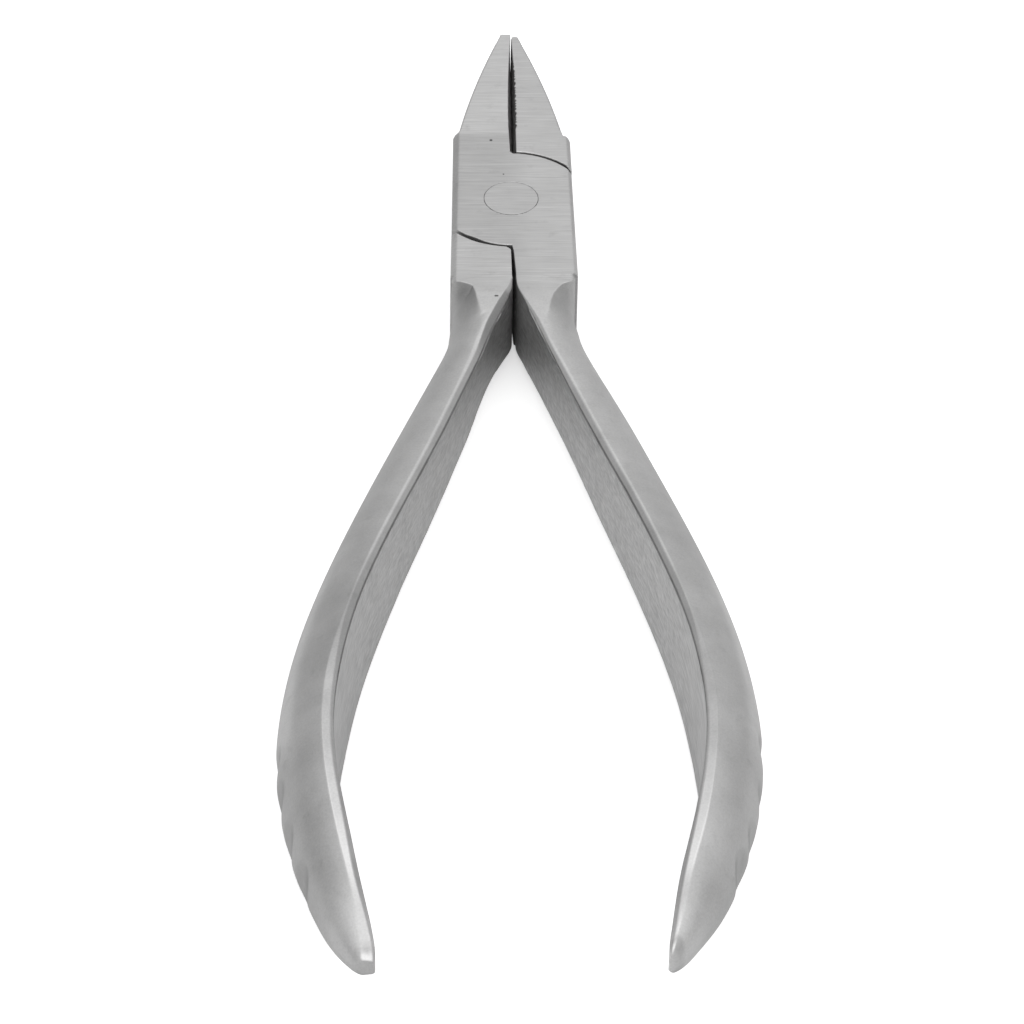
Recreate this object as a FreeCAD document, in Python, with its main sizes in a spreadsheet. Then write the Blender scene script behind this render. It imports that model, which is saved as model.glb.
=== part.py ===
"""Small flat-nose bending pliers: two steel halves in a lap joint, held by one flush rivet.

Row frame, millimetres: +Z up out of the joint's front face, +Y towards the jaw tips, +X to the right of
someone who looks at the front face with the jaws away from them. The origin is on the rivet's axis, at the
joint's flat back face. Each half is modelled about the joint's mid-plane and placed half a joint up.

upper_half is the left jaw, the front plate and the right handle. lower_half is the right jaw, the back plate
and the left handle. The plates lie on each other inside a round recess, so the halves turn about the rivet.
"""
import FreeCAD, Part
import math
import os
import Sketcher
from FreeCAD import Placement, Rotation, Vector

os.makedirs("parts", exist_ok=True)
doc = FreeCAD.newDocument("BendingPliers")

# ---------------------------------------------------------------- driving dimensions
DIMS = [
    # joint
    ("joint_thick", 8.5, "thickness of the joint, back face to front face"),
    ("face_gap", 0.04, "running gap between the two plates"),
    ("recess_radius_upper", 7.83, "round recess in the upper half, where the back plate turns"),
    ("recess_radius_lower", 7.90, "round recess in the lower half, where the front plate turns"),
    ("plate_radius_top", 7.68, "both plates' round edge on the jaw side"),
    ("plate_radius_front", 7.74, "front plate's round edge on the handle side"),
    ("plate_radius_back", 7.60, "back plate's round edge on the handle side"),
    ("rivet_radius", 2.73, "rivet shank, pressed in the upper half"),
    ("rivet_gap", 0.04, "radial running clearance of the rivet in the lower half"),
    ("rivet_head_radius", 3.40, "countersunk rivet head at the back face"),
    ("rivet_head_depth", 1.20, "depth of the countersunk head"),
    ("head_gap", 0.05, "running gap around the countersunk head"),
    # jaws
    ("jaw_half_tip", 3.40, "half thickness of the jaws at the tips"),
    ("jaw_base_y", 11.35, "where the jaws meet the joint block"),
    ("jaw_end_y", 30.60, "past the jaw tips, where the jaw taper ends"),
    ("edge_chamfer_left", 0.55, "hand-ground chamfer along the block's left edges"),
    ("edge_chamfer_right", 0.38, "hand-ground chamfer along the block's right edges"),
    # handles
    ("groove_radius", 3.60, "finger grooves across the outside of the handles"),
]
# outline of the upper half's blank, seen from the front; the two arcs of the plate are about the rivet
UPPER = [
    ("tip_in", 0.36, 29.90), ("tip_out", -0.72, 29.92), ("jaw_root", -5.18, 11.45), ("shoulder_a", -5.55, 11.25),
    ("shoulder_b", -5.78, 10.85), ("side_low", -6.03, -4.627), ("plate_end", -0.02, -7.74), ("slot_a", 0.13, -8.60),
    ("slot_b", 0.30, -11.87), ("slot_c", 0.38, -14.10), ("tongue", 1.05, -16.20), ("cove_a", 3.70, -14.90),
    ("cove_b", 5.10, -13.60), ("side_end", 6.50, -13.50), ("side_top", 6.235, 4.484), ("plate_start", 0.30, 7.674),
    ("throat_a", 0.02, 8.00), ("throat_b", -0.08, 12.00),
]
UPPER_ARCS = {1: "jaw_bulge_upper", 5: "plate_radius_front", 14: "plate_radius_top", 17: "jaw_hollow_upper"}
LOWER = [
    ("tip_in", 0.40, 29.44), ("tip_out", 1.08, 29.46), ("jaw_root", 5.48, 10.70), ("shoulder_a", 5.92, 10.50),
    ("shoulder_b", 6.18, 10.05), ("side_low", 6.37, -4.145), ("plate_end", -0.12, -7.60), ("slot_a", -0.11, -8.60),
    ("slot_b", -0.07, -11.87), ("slot_c", -0.12, -14.20), ("tongue", -0.78, -16.10), ("cove_a", -3.20, -15.60),
    ("cove_b", -3.95, -14.00), ("side_end", -6.20, -13.60), ("side_top", -5.86, 4.964), ("plate_start", 0.36, 7.672),
    ("throat_a", 0.63, 8.10), ("throat_b", 0.61, 12.00),
]
LOWER_ARCS = {1: "jaw_bulge_lower", 5: "plate_radius_back", 14: "plate_radius_top", 17: "jaw_hollow_lower"}
DIMS += [
    ("jaw_bulge_upper", 135.0, "radius of the left jaw's outer edge"),
    ("jaw_bulge_lower", 135.0, "radius of the right jaw's outer edge"),
    ("jaw_hollow_upper", 290.0, "radius of the left jaw's hollowed inner face"),
    ("jaw_hollow_lower", 420.0, "radius of the right jaw's hollowed inner face"),
]

# handle sections at constant Y: inner face, outer edge, half height of the flat inner face, bevel
STATION_Y = [-12.5, -16.0, -20.0, -24.0, -32.0, -40.0, -48.0, -56.0, -64.0, -72.0, -79.0, -86.0, -92.0, -97.0, -101.0, -103.2, -105.0]
LEFT = {
    "inner": [0.12, 0.70, 2.09, 3.22, 5.51, 7.94, 10.52, 12.92, 14.89, 16.18, 16.77, 16.30, 15.23, 14.25, 13.33, 12.98, 12.92],
    "outer": [5.70, 6.15, 6.55, 7.75, 10.60, 13.38, 16.04, 18.45, 20.43, 21.70, 22.04, 21.38, 20.10, 18.52, 16.80, 15.35, 14.50],
    "half": [3.80, 3.68, 3.63, 3.61, 3.84, 4.34, 4.88, 5.54, 6.22, 6.84, 6.61, 5.86, 4.78, 3.50, 2.10, 1.15, 0.45],
    "bevel": [0.30, 0.50, 0.61, 0.62, 0.60, 0.58, 0.57, 0.60, 0.66, 0.78, 0.80, 0.90, 1.05, 1.05, 0.80, 0.50, 0.25],
}
RIGHT = {
    "inner": [0.36, 0.97, 2.15, 3.35, 5.74, 8.11, 10.57, 12.79, 14.64, 15.78, 16.18, 15.55, 14.34, 13.15, 12.45, 12.10, 12.02],
    "outer": [5.85, 6.30, 6.90, 8.12, 11.00, 13.64, 16.18, 18.49, 20.30, 21.36, 21.54, 20.70, 19.20, 17.30, 15.05, 13.35, 12.75],
    "half": [3.85, 3.98, 3.94, 3.90, 4.01, 4.49, 4.97, 5.47, 6.06, 6.72, 6.62, 5.87, 4.80, 3.50, 2.05, 1.10, 0.45],
    "bevel": [0.20, 0.20, 0.30, 0.46, 0.56, 0.56, 0.55, 0.54, 0.54, 0.58, 0.65, 0.80, 0.95, 0.95, 0.75, 0.45, 0.25],
}
LEFT_END, RIGHT_END = -104.35, -103.75
GROOVES = {  # centre of each finger groove's cutter, outside the handle
    "left": [(-25.35, -79.7), (-24.95, -84.3), (-24.05, -89.7), (-22.65, -94.9)],
    "right": [(24.85, -78.2), (24.55, -84.0), (23.40, -89.4), (22.05, -93.6)],
}

sheet = doc.addObject("Spreadsheet::Sheet", "Dimensions")
sheet.set("A1", "dimension")
sheet.set("B1", "value, mm")
sheet.set("C1", "meaning")
row = [1]


def cell(alias, value, meaning=""):
    row[0] += 1
    sheet.set(f"A{row[0]}", alias)
    sheet.set(f"B{row[0]}", f"{value:.4f}")
    sheet.setAlias(f"B{row[0]}", alias)
    sheet.set(f"C{row[0]}", meaning)


for alias, value, meaning in DIMS:
    cell(alias, value, meaning)
for half, outline in (("upper", UPPER), ("lower", LOWER)):
    for name, x, y in outline:
        cell(f"{half}_{name}_x", x, f"{half} half's outline, {name}")
        cell(f"{half}_{name}_y", y, f"{half} half's outline, {name}")
for side, table, end in (("left", LEFT, LEFT_END), ("right", RIGHT, RIGHT_END)):
    for k, y in enumerate(STATION_Y):
        y = max(y, end) if k < len(STATION_Y) - 1 else end
        cell(f"{side}_station_{k:02d}", -y, f"{side} handle, distance of section {k} below the rivet")
        for what in ("inner", "outer", "half", "bevel"):
            cell(f"{side}_{what}_{k:02d}", table[what][k], f"{side} handle, {what} at section {k}")
for side, centres in GROOVES.items():
    for k, (x, y) in enumerate(centres):
        cell(f"{side}_groove_{k}_x", x, "finger groove")
        cell(f"{side}_groove_{k}_y", y, "finger groove")
doc.recompute()


def dim(alias):
    return float(sheet.get(alias))


# ---------------------------------------------------------------- sketch helpers
def plane(body, role):
    return [o for o in body.Origin.OriginFeatures if o.Role == role][0]


def sketch(body, name, role, offset=None):
    """An attached sketch; offset is an expression for its distance along the plane's normal."""
    sk = body.newObject("Sketcher::SketchObject", name)
    sk.AttachmentSupport = [(plane(body, role), "")]
    sk.MapMode = "FlatFace"
    if offset:
        sk.setExpression("AttachmentOffset.Base.z", offset)
    return sk


def pin(sk, geo, end, x_expr, y_expr, x, y):
    """Fix one end of a sketch element at a sheet-driven position."""
    for kind, expr, value in (("DistanceX", x_expr, x), ("DistanceY", y_expr, y)):
        index = sk.addConstraint(Sketcher.Constraint(kind, -1, 1, geo, end, value))
        label = f"{kind}_{geo}_{end}"
        sk.renameConstraint(index, label)
        sk.setExpression(f"Constraints.{label}", expr)


def arc_between(p, q, radius, bulge):
    """Counterclockwise arc of a given radius between p and q, on the side that bulge points to.

    Returns the arc and whether it starts at p.
    """
    mid = (p + q) * 0.5
    chord = q - p
    normal = Vector(-chord.y, chord.x, 0)
    normal.normalize()
    if normal.dot(bulge) < 0:
        normal = normal * -1
    centre = mid - normal * (radius * radius - chord.Length ** 2 / 4) ** 0.5
    a, b = p - centre, q - centre
    forward = a.x * b.y - a.y * b.x > 0
    first, last = (a, b) if forward else (b, a)
    t0, t1 = math.atan2(first.y, first.x), math.atan2(last.y, last.x)
    if t1 < t0:
        t1 += 2 * math.pi
    return Part.ArcOfCircle(Part.Circle(centre, Vector(0, 0, 1), radius), t0, t1), forward


def outline(body, half, table, arcs, bulges):
    sk = sketch(body, f"{body.Label}_outline", "XY_Plane")
    pts = [Vector(dim(f"{half}_{n}_x"), dim(f"{half}_{n}_y"), 0) for n, _, _ in table]
    count = len(pts)
    ends = []
    for k in range(count):
        p, q = pts[k], pts[(k + 1) % count]
        if k in arcs:
            shape, forward = arc_between(p, q, dim(arcs[k]), bulges[k])
            geo = sk.addGeometry(shape, False)
            ends.append((geo, 1, 2) if forward else (geo, 2, 1))
        else:
            ends.append((sk.addGeometry(Part.LineSegment(p, q), False), 1, 2))
    for k in range(count):
        g0, _, e0 = ends[k]
        g1, s1, _ = ends[(k + 1) % count]
        sk.addConstraint(Sketcher.Constraint("Coincident", g0, e0, g1, s1))
    for k, (name, _, _) in enumerate(table):
        geo, start, _ = ends[k]
        pin(sk, geo, start, f"Dimensions.{half}_{name}_x", f"Dimensions.{half}_{name}_y", pts[k].x, pts[k].y)
    for k, alias in arcs.items():
        index = sk.addConstraint(Sketcher.Constraint("Radius", ends[k][0], dim(alias)))
        label = f"radius_{k}"
        sk.renameConstraint(index, label)
        sk.setExpression(f"Constraints.{label}", f"Dimensions.{alias}")
    return sk


def circle(sk, radius_expr, radius, x_expr=None, y_expr=None, x=0.0, y=0.0):
    geo = sk.addGeometry(Part.Circle(Vector(x, y, 0), Vector(0, 0, 1), radius), False)
    if x_expr:
        pin(sk, geo, 3, x_expr, y_expr, x, y)
    else:
        sk.addConstraint(Sketcher.Constraint("Coincident", geo, 3, -1, 1))
    index = sk.addConstraint(Sketcher.Constraint("Radius", geo, radius))
    sk.renameConstraint(index, f"radius_{geo}")
    sk.setExpression(f"Constraints.radius_{geo}", radius_expr)
    return geo


def section(body, side, sign, k):
    """D-shaped handle section: flat inner face, two bevels and one arc round the outside."""
    names = {w: f"Dimensions.{side}_{w}_{k:02d}" for w in ("inner", "outer", "half", "bevel")}
    xi, xo, hh, bv = (dim(f"{side}_{w}_{k:02d}") for w in ("inner", "outer", "half", "bevel"))
    sk = sketch(body, f"{side}_section_{k:02d}", "XZ_Plane", f"Dimensions.{side}_station_{k:02d}")
    top, x0 = hh + bv, xi + bv
    a, b = Vector(sign * xi, -hh, 0), Vector(sign * xi, hh, 0)
    c, d = Vector(sign * x0, top, 0), Vector(sign * x0, -top, 0)
    sk.addGeometry(Part.LineSegment(a, b), False)
    sk.addGeometry(Part.LineSegment(b, c), False)
    rise = xo - x0
    radius = (top * top + rise * rise) / (2 * rise)
    lean = math.atan2(top, rise - radius)
    centre = Vector(sign * (xo - radius), 0, 0)
    turn = (-lean, lean) if sign > 0 else (math.pi - lean, math.pi + lean)
    sk.addGeometry(Part.ArcOfCircle(Part.Circle(centre, Vector(0, 0, 1), radius), *turn), False)
    sk.addGeometry(Part.LineSegment(d, a), False)
    start, end = (2, 1) if sign > 0 else (1, 2)
    sk.addConstraint(Sketcher.Constraint("Coincident", 0, 2, 1, 1))
    sk.addConstraint(Sketcher.Constraint("Coincident", 1, 2, 2, start))
    sk.addConstraint(Sketcher.Constraint("Coincident", 2, end, 3, 1))
    sk.addConstraint(Sketcher.Constraint("Coincident", 3, 2, 0, 1))
    flip = "" if sign > 0 else "-1 * "
    inner, bevel, half = names["inner"], names["bevel"], names["half"]
    pin(sk, 0, 1, f"{flip}{inner}", f"-1 * {half}", a.x, a.y)
    pin(sk, 0, 2, f"{flip}{inner}", half, b.x, b.y)
    pin(sk, 1, 2, f"{flip}({inner} + {bevel})", f"{half} + {bevel}", c.x, c.y)
    pin(sk, 3, 1, f"{flip}({inner} + {bevel})", f"-1 * ({half} + {bevel})", d.x, d.y)
    depth = f"({names['outer']} - {inner} - {bevel})"
    high = f"({half} + {bevel})"
    index = sk.addConstraint(Sketcher.Constraint("Radius", 2, radius))
    sk.renameConstraint(index, "outer_radius")
    sk.setExpression("Constraints.outer_radius", f"({high} * {high} + {depth} * {depth}) / (2 * {depth})")
    return sk


def feature(body, kind, name, profile, **settings):
    made = body.newObject(f"PartDesign::{kind}", name)
    made.Profile = profile
    for key, value in settings.items():
        setattr(made, key, value)
    return made


# ---------------------------------------------------------------- the two halves
def ground_edges(body, name, side_sign, size_alias):
    """Chamfer the blank's long front and back edges on one side of the block."""
    ht = dim("joint_thick") / 2
    names = []
    for k, edge in enumerate(body.Tip.Shape.Edges, 1):
        p, q = edge.Vertexes[0].Point, edge.Vertexes[-1].Point
        flat = abs(abs(p.z) - ht) < 0.01 and abs(p.z - q.z) < 0.01
        if flat and abs(p.y - q.y) > 4 and min(side_sign * p.x, side_sign * q.x) > 5.6:
            names.append(f"Edge{k}")
    if len(names) != 2:
        raise RuntimeError(f"{name}: {len(names)} edges found")
    base = body.Tip
    made = body.newObject("PartDesign::Chamfer", name)
    made.Base = (base, names)
    made.setExpression("Size", f"Dimensions.{size_alias}")
    doc.recompute()


def make_half(half, label, table, arcs, bulges, side, sign, recess_up):
    body = doc.addObject("PartDesign::Body", f"Body_{half}")
    body.Label = label
    body.setExpression("Placement.Base.z", "Dimensions.joint_thick / 2")

    # forged blank: jaw, plate and handle root in one outline, as thick as the joint
    sk = outline(body, half, table, arcs, bulges)
    blank = feature(body, "Pad", f"{half}_blank", sk)
    blank.Midplane = True
    blank.setExpression("Length", "Dimensions.joint_thick")
    doc.recompute()
    volumes = [body.Shape.Volume]
    ground_edges(body, f"{half}_left_edges", -1, "edge_chamfer_left")
    ground_edges(body, f"{half}_right_edges", 1, "edge_chamfer_right")
    volumes.append(body.Shape.Volume)

    # handle, lofted through its sections; the first one is buried in the root
    cuts = [section(body, side, sign, k) for k in range(len(STATION_Y))]
    handle = feature(body, "AdditiveLoft", f"{half}_handle", cuts[0], Sections=cuts[1:], Ruled=False, Closed=False)
    doc.recompute()
    volumes.append(body.Shape.Volume)

    # jaw taper on both faces
    sk = sketch(body, f"{half}_taper", "YZ_Plane")
    y0, y1, ht, tip = dim("jaw_base_y"), dim("jaw_end_y"), dim("joint_thick") / 2, dim("jaw_half_tip")
    for s in (1, -1):
        base = sk.GeometryCount
        p, q, r = Vector(y0, s * ht, 0), Vector(y1, s * tip, 0), Vector(y1, s * ht * 1.2, 0)
        w = Vector(y0, s * ht * 1.2, 0)
        corners = [p, q, r, w]
        for k in range(4):
            sk.addGeometry(Part.LineSegment(corners[k], corners[(k + 1) % 4]), False)
        for k in range(4):
            sk.addConstraint(Sketcher.Constraint("Coincident", base + k, 2, base + (k + 1) % 4, 1))
        flip = "" if s > 0 else "-1 * "
        pin(sk, base, 1, "Dimensions.jaw_base_y", f"{flip}Dimensions.joint_thick / 2", p.x, p.y)
        pin(sk, base + 1, 1, "Dimensions.jaw_end_y", f"{flip}Dimensions.jaw_half_tip", q.x, q.y)
        pin(sk, base + 2, 1, "Dimensions.jaw_end_y", f"{flip}Dimensions.joint_thick * 0.6", r.x, r.y)
        pin(sk, base + 3, 1, "Dimensions.jaw_base_y", f"{flip}Dimensions.joint_thick * 0.6", w.x, w.y)
    feature(body, "Pocket", f"{half}_jaw_taper", sk, Type=1, Midplane=True)
    doc.recompute()
    volumes.append(body.Shape.Volume)

    # round recess for the other half's plate, down to just past the mid-plane
    lift = "Dimensions.face_gap / 2" if not recess_up else "-1 * Dimensions.face_gap / 2"
    sk = sketch(body, f"{half}_recess", "XY_Plane", lift)
    circle(sk, f"Dimensions.recess_radius_{half}", dim(f"recess_radius_{half}"))
    feature(body, "Pocket", f"{half}_plate_recess", sk, Type=1, Reversed=recess_up)
    doc.recompute()
    volumes.append(body.Shape.Volume)

    # rivet hole
    sk = sketch(body, f"{half}_rivet_circle", "XY_Plane")
    if recess_up:
        circle(sk, "Dimensions.rivet_radius + Dimensions.rivet_gap", dim("rivet_radius") + dim("rivet_gap"))
    else:
        circle(sk, "Dimensions.rivet_radius", dim("rivet_radius"))
    feature(body, "Pocket", f"{half}_rivet_hole", sk, Type=1, Midplane=True)
    doc.recompute()
    volumes.append(body.Shape.Volume)

    # countersink for the rivet's head in the back face
    if recess_up:
        sk = sketch(body, f"{half}_sink", "XZ_Plane")
        ht, hr, hd, g = dim("joint_thick") / 2, dim("rivet_head_radius"), dim("rivet_head_depth"), dim("head_gap")
        r0 = dim("rivet_radius")
        corners = [Vector(0, -ht - 1, 0), Vector(hr + g, -ht - 1, 0), Vector(hr + g, -ht, 0), Vector(r0 + g, -ht + hd, 0), Vector(0, -ht + hd, 0)]
        for k in range(5):
            sk.addGeometry(Part.LineSegment(corners[k], corners[(k + 1) % 5]), False)
        for k in range(5):
            sk.addConstraint(Sketcher.Constraint("Coincident", k, 2, (k + 1) % 5, 1))
        low = "-1 * Dimensions.joint_thick / 2"
        head = "Dimensions.rivet_head_radius + Dimensions.head_gap"
        sk.addConstraint(Sketcher.Constraint("PointOnObject", 0, 1, -2))
        sk.addConstraint(Sketcher.Constraint("PointOnObject", 4, 1, -2))
        pin(sk, 2, 1, head, low, corners[2].x, corners[2].y)
        pin(sk, 3, 1, "Dimensions.rivet_radius + Dimensions.head_gap", f"{low} + Dimensions.rivet_head_depth", corners[3].x, corners[3].y)
        sk.addConstraint(Sketcher.Constraint("Vertical", 1))
        sk.addConstraint(Sketcher.Constraint("Horizontal", 0))
        sk.addConstraint(Sketcher.Constraint("Horizontal", 3))
        sk.addConstraint(Sketcher.Constraint("DistanceY", 0, 2, 1, 2, 1.0))
        feature(body, "Groove", f"{half}_countersink", sk, ReferenceAxis=(sk, ["V_Axis"]), Angle=360.0)
        doc.recompute()
        volumes.append(body.Shape.Volume)

    # finger grooves across the outside of the handle
    sk = sketch(body, f"{side}_grooves", "XY_Plane")
    for k, (x, y) in enumerate(GROOVES[side]):
        circle(sk, "Dimensions.groove_radius", dim("groove_radius"), f"Dimensions.{side}_groove_{k}_x", f"Dimensions.{side}_groove_{k}_y", x, y)
    feature(body, "Pocket", f"{half}_finger_grooves", sk, Type=1, Midplane=True)
    doc.recompute()
    volumes.append(body.Shape.Volume)
    print(label, "volume after each feature:", [round(v, 1) for v in volumes])
    return body


UP, DOWN, WEST, EAST = Vector(0, 1, 0), Vector(0, -1, 0), Vector(-1, 0, 0), Vector(1, 0, 0)
upper = make_half("upper", "upper_half", UPPER, UPPER_ARCS, {1: WEST, 5: DOWN, 14: UP, 17: WEST}, "right", 1, False)
lower = make_half("lower", "lower_half", LOWER, LOWER_ARCS, {1: EAST, 5: DOWN, 14: UP, 17: EAST}, "left", -1, True)


# ---------------------------------------------------------------- the rivet
rivet = doc.addObject("PartDesign::Body", "Body_rivet")
rivet.Label = "pivot_rivet"
sk = sketch(rivet, "rivet_profile", "XZ_Plane")
tt, rr, hr, hd = dim("joint_thick"), dim("rivet_radius"), dim("rivet_head_radius"), dim("rivet_head_depth")
corners = [Vector(0, 0, 0), Vector(hr, 0, 0), Vector(rr, hd, 0), Vector(rr, tt, 0), Vector(0, tt, 0)]
for k in range(5):
    sk.addGeometry(Part.LineSegment(corners[k], corners[(k + 1) % 5]), False)
for k in range(5):
    sk.addConstraint(Sketcher.Constraint("Coincident", k, 2, (k + 1) % 5, 1))
sk.addConstraint(Sketcher.Constraint("Coincident", 0, 1, -1, 1))
sk.addConstraint(Sketcher.Constraint("Horizontal", 0))
sk.addConstraint(Sketcher.Constraint("Vertical", 2))
sk.addConstraint(Sketcher.Constraint("Horizontal", 3))
sk.addConstraint(Sketcher.Constraint("PointOnObject", 4, 1, -2))
for geo, end, kind, expr, value in (
    (0, 2, "DistanceX", "Dimensions.rivet_head_radius", hr),
    (1, 2, "DistanceX", "Dimensions.rivet_radius", rr),
    (1, 2, "DistanceY", "Dimensions.rivet_head_depth", hd),
    (2, 2, "DistanceY", "Dimensions.joint_thick", tt),
):
    index = sk.addConstraint(Sketcher.Constraint(kind, -1, 1, geo, end, value))
    sk.renameConstraint(index, f"r_{kind}_{geo}_{end}")
    sk.setExpression(f"Constraints.r_{kind}_{geo}_{end}", expr)
feature(rivet, "Revolution", "rivet_body", sk, ReferenceAxis=(sk, ["V_Axis"]), Angle=360.0)
doc.recompute()

# ---------------------------------------------------------------- checks and export
for obj in doc.Objects:
    if "Invalid" in obj.State or "Error" in obj.State:
        raise RuntimeError(f"{obj.Label} failed: {obj.State}")
for body in (upper, lower, rivet):
    shape = body.Shape
    if shape.isNull() or not shape.isValid() or len(shape.Solids) != 1:
        raise RuntimeError(f"{body.Label}: bad shape, {len(shape.Solids)} solids")
    box = shape.BoundBox
    print(body.Label, f"volume {shape.Volume:.1f} mm3, X {box.XMin:.2f} {box.XMax:.2f}, Y {box.YMin:.2f} {box.YMax:.2f}, Z {box.ZMin:.2f} {box.ZMax:.2f}")
    shape.exportStep(os.path.join("parts", f"{body.Label}.step"))
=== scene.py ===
"""Looks of the flat-nose bending pliers. Two forged steel halves and a flush rivet, meshed from distance fields."""

import math

import bpy
import numpy as np
from mathutils import Matrix


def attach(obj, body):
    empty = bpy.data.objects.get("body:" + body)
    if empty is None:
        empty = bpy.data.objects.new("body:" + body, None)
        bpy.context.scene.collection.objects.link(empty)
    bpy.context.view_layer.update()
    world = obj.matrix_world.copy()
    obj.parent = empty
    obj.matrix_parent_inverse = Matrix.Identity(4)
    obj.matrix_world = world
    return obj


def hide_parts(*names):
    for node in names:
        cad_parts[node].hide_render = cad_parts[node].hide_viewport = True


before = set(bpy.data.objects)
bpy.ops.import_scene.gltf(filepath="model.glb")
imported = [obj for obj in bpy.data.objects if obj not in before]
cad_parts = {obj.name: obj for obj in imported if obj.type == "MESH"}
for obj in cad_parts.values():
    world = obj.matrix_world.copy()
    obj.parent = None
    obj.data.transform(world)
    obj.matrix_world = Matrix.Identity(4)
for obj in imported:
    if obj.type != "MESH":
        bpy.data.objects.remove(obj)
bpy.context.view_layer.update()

# ------------------------------------------------------------------ sizes, mm, about the joint's mid-plane
HALF = 4.25  # half the joint's thickness; the mid-plane is this far above the row frame's origin
GAP = 0.02  # half the running gap between the plates
RECESS = {True: 7.83, False: 7.97}  # round recess of the front-plate half and of the back-plate half
RIVET = 2.73
JAW_BASE, JAW_END, JAW_TIP = 11.35, 30.60, 3.40
CHAMFER = {-1: 0.55, 1: 0.38}  # ground edges on the block's left and right sides
STATION = [-12.5, -14.2, -16.0, -18.0, -20.0, -24.0, -32.0, -40.0, -48.0, -56.0, -64.0, -72.0, -79.0, -86.0, -92.0, -97.0, -101.0, -103.2]
HANDLES = {
    -1: {
        "end": -104.35,
        "inner": [0.02, 0.08, 0.66, 1.38, 2.09, 3.22, 5.51, 7.94, 10.52, 12.92, 14.89, 16.18, 16.77, 16.30, 15.23, 14.25, 13.33, 12.98, 12.92],
        "outer": [5.70, 5.92, 6.15, 6.32, 6.55, 7.75, 10.60, 13.38, 16.04, 18.45, 20.43, 21.70, 22.04, 21.38, 20.10, 18.52, 16.80, 15.35, 14.50],
        "half": [4.20, 3.88, 3.68, 3.63, 3.65, 3.61, 3.84, 4.34, 4.88, 5.54, 6.22, 6.84, 6.61, 5.86, 4.78, 3.50, 2.10, 1.15, 0.45],
        "bevel": [0.05, 0.36, 0.58, 0.60, 0.62, 0.62, 0.60, 0.58, 0.57, 0.60, 0.66, 0.70, 0.66, 0.66, 0.70, 0.66, 0.50, 0.36, 0.22],
        "grooves": [(-25.35, -79.7), (-24.95, -84.3), (-24.05, -89.7), (-22.65, -94.9)],
    },
    1: {
        "end": -103.75,
        "inner": [0.34, 0.42, 0.97, 1.55, 2.15, 3.35, 5.74, 8.11, 10.57, 12.79, 14.64, 15.78, 16.18, 15.55, 14.34, 13.15, 12.45, 12.10, 12.02],
        "outer": [5.85, 6.05, 6.30, 6.55, 6.90, 8.12, 11.00, 13.64, 16.18, 18.49, 20.30, 21.36, 21.54, 20.70, 19.20, 17.30, 15.05, 13.35, 12.75],
        "half": [4.20, 4.18, 4.15, 4.10, 4.03, 3.93, 4.01, 4.49, 4.97, 5.47, 6.06, 6.72, 6.62, 5.87, 4.80, 3.50, 2.05, 1.10, 0.45],
        "bevel": [0.05, 0.08, 0.10, 0.16, 0.27, 0.44, 0.56, 0.56, 0.55, 0.54, 0.54, 0.54, 0.54, 0.56, 0.60, 0.58, 0.50, 0.34, 0.22],
        "grooves": [(24.85, -78.2), (24.55, -84.0), (23.40, -89.4), (22.05, -93.6)],
    },
}
GROOVE = 3.60
# plan outlines; a fourth entry is the radius of the arc that starts there, bulging away from the jaw's or joint's middle
UPPER = [
    (0.36, 29.90), (-0.72, 29.92, 135.0), (-5.20, 11.43), (-5.62, 11.36), (-5.81, 11.05), (-6.03, -4.627, 7.74), (-0.02, -7.74),
    (0.13, -8.60), (0.30, -11.87), (0.38, -14.10), (1.00, -16.20), (1.50, -17.90), (2.25, -17.60), (2.62, -16.10), (3.35, -14.90), (4.85, -13.75), (6.50, -13.40),
    (6.235, 4.484, 7.68), (0.30, 7.674), (0.02, 8.00), (-0.08, 12.00, 290.0),
]
LOWER = [
    (0.40, 29.44), (1.08, 29.46, 135.0), (5.46, 10.74), (6.02, 10.62), (6.21, 10.22), (6.37, -4.145, 7.60), (-0.12, -7.60),
    (-0.11, -8.60), (-0.07, -11.87), (-0.08, -14.20), (-0.66, -16.10), (-1.35, -17.90), (-2.50, -18.20), (-2.72, -16.40), (-3.05, -15.15), (-3.72, -13.92), (-6.20, -13.52),
    (-5.86, 4.964, 7.68), (0.36, 7.672), (0.63, 8.10), (0.61, 12.00, 420.0),
]


# ------------------------------------------------------------------ curves
def spline(xs, ys):
    """Natural cubic spline through the points, as a function."""
    order = np.argsort(xs)
    x, y = np.asarray(xs, float)[order], np.asarray(ys, float)[order]
    n, dx = len(x), np.diff(x)
    m = np.eye(n)
    rhs = np.zeros(n)
    for i in range(1, n - 1):
        m[i, i - 1 : i + 2] = dx[i - 1], 2 * (dx[i - 1] + dx[i]), dx[i]
        rhs[i] = 6 * ((y[i + 1] - y[i]) / dx[i] - (y[i] - y[i - 1]) / dx[i - 1])
    curve = np.linalg.solve(m, rhs)

    def at(q):
        q = np.clip(q, x[0], x[-1])
        i = np.clip(np.searchsorted(x, q) - 1, 0, n - 2)
        d = dx[i]
        a, b = (x[i + 1] - q) / d, (q - x[i]) / d
        return a * y[i] + b * y[i + 1] + ((a**3 - a) * curve[i] + (b**3 - b) * curve[i + 1]) * d * d / 6

    return at


def fine_table(side):
    data = HANDLES[side]
    ys = STATION + [data["end"]]
    q = np.arange(data["end"], -12.4, 0.05)
    return q, {k: spline(ys, data[k])(q) for k in ("inner", "outer", "half", "bevel")}


TABLES = {side: fine_table(side) for side in (-1, 1)}


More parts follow.
